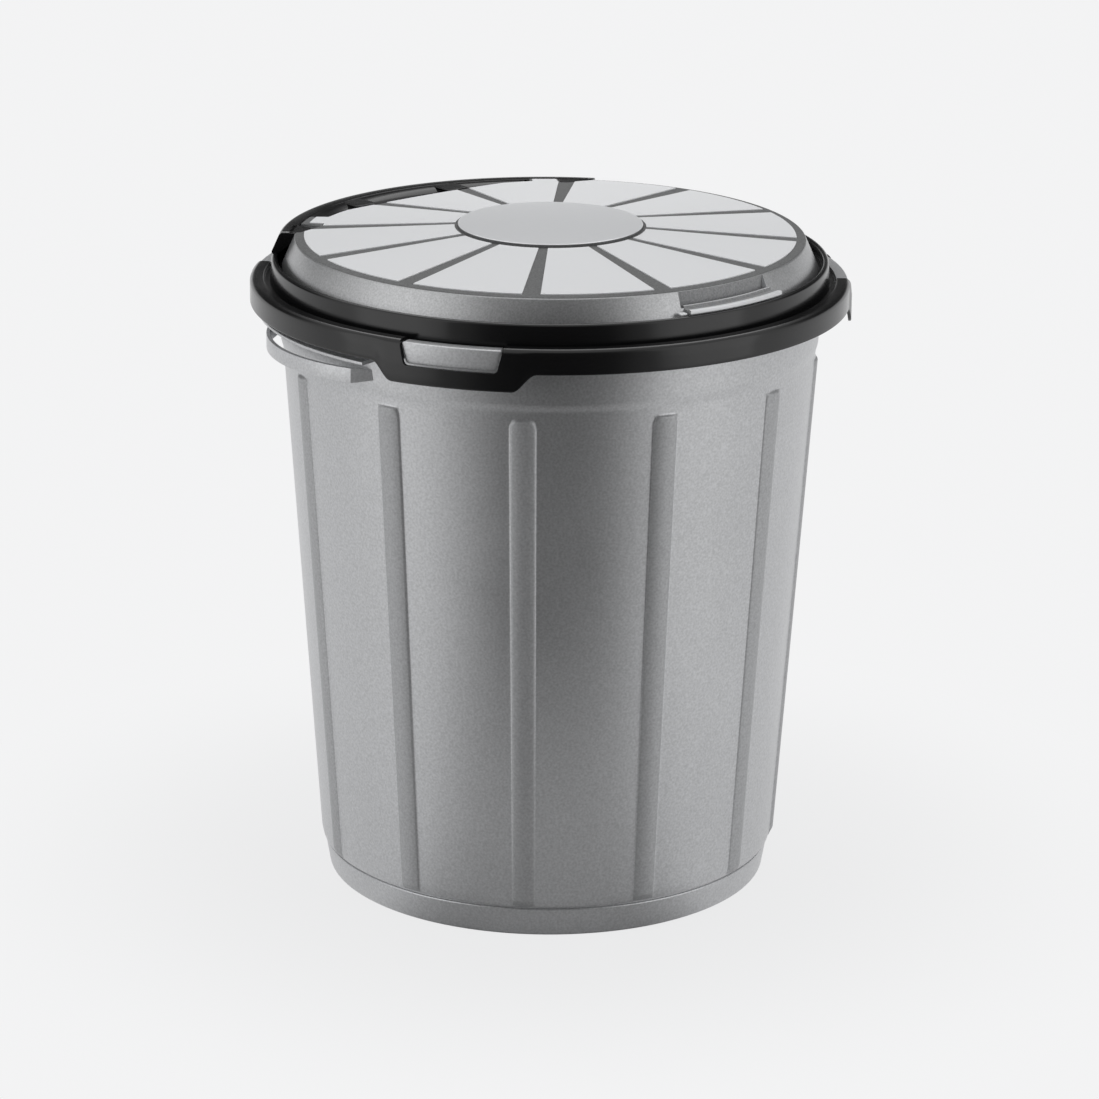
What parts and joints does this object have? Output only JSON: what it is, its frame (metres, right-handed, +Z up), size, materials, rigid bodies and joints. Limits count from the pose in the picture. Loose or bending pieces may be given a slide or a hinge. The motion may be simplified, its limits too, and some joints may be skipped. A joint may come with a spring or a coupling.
{
  "type": "trash can",
  "caption": "Round tapered trash can with upright ribs, loop grips, a clip-on rim ring with a hinge hood, and a hinged shallow domed lid.",
  "frame": {"origin": "centre of the foot, on the floor", "axes": "+Z up; the finger pull faces -Y and the hinge is at +Y; the two grips are at the +X and -X sides"},
  "size_m": [0.4202, 0.4202, 0.4733],
  "materials": {
    "silver_bucket": "satin metallic silver plastic with a fine grain",
    "black_ring": "glossy black",
    "silver_lid": "metallic silver plastic, smooth panels between fine textured grooves",
    "black_pins": "plain black"
  },
  "bodies": {
    "bucket": {"bucket": "silver_bucket"},
    "ring": {"rim_ring": "black_ring", "hinge_pins": "black_pins"},
    "lid": {"lid": "silver_lid"}
  },
  "joints": [
    {"name": "ring_lift", "type": "slide", "parent": "bucket", "child": "ring", "axis": [0, 0, 1], "range_m": [0, 0.06]},
    {"name": "lid_hinge", "type": "hinge", "parent": "ring", "child": "lid", "pos_m": [0, 0.154, 0.4561], "axis": [-1, 0, 0], "range_deg": [0, 105]}
  ]
}
